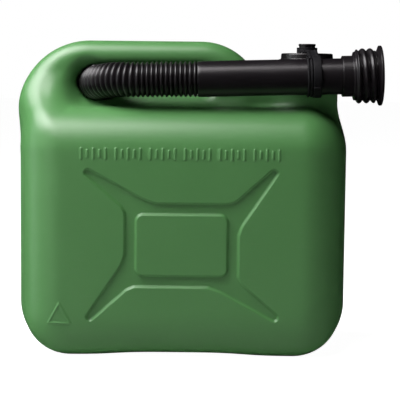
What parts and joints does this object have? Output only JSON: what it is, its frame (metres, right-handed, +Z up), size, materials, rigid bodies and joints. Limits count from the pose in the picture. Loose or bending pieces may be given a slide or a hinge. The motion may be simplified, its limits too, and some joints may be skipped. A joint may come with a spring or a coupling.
{
  "type": "fuel can",
  "caption": "Moulded plastic fuel can with a built-in handle, a pressed cross on each wide face, a two-part screw cap, and a flexible corrugated pouring spout stowed along the top.",
  "frame": {"origin": "middle of the can's flat base, on the surface it stands on", "axes": "+X towards the neck end and the spout's nut, +Y away from the side the spout is stowed on, +Z up"},
  "size_m": [0.2897, 0.13, 0.2465],
  "materials": {
    "can_plastic": "satin moulded green",
    "cap_plastic": "semi-gloss moulded black",
    "spout_plastic": "satin moulded black",
    "strap_rubber": "matte moulded black",
    "seal_rubber": "matte grey"
  },
  "bodies": {
    "can": {"can_body": "can_plastic"},
    "inner_cap": {"cap_inner": "cap_plastic", "cap_gasket": "seal_rubber", "cap_spring": "seal_rubber"},
    "outer_cap": {"cap_shell": "cap_plastic", "cap_stud": "cap_plastic"},
    "spout": {"spout_strap": "strap_rubber", "spout_tube": "spout_plastic", "spout_hose": "spout_plastic", "spout_nozzle": "spout_plastic"},
    "nut": {"spout_nut": "spout_plastic", "nut_washer": "seal_rubber"}
  },
  "joints": [
    {"name": "cap_turn", "type": "hinge", "parent": "can", "child": "inner_cap", "pos_m": [0.099, 0, 0.22], "axis": [0, 0, 1], "range_deg": [0, 540]},
    {"name": "cap_press", "type": "slide", "parent": "inner_cap", "child": "outer_cap", "axis": [0, 0, -1], "range_m": [0, 0.0012], "stiffness_N_per_m": 3000, "springref_m": -0.0005, "deforming": ["cap_spring"]},
    {"name": "spout_pull", "type": "slide", "parent": "can", "child": "spout", "axis": [0, -1, 0], "range_m": [0, 0.1]},
    {"name": "nut_turn", "type": "hinge", "parent": "spout", "child": "nut", "pos_m": [0.099, -0.0405, 0.2195], "axis": [0.9996, 0, 0.0297], "continuous": true}
  ]
}
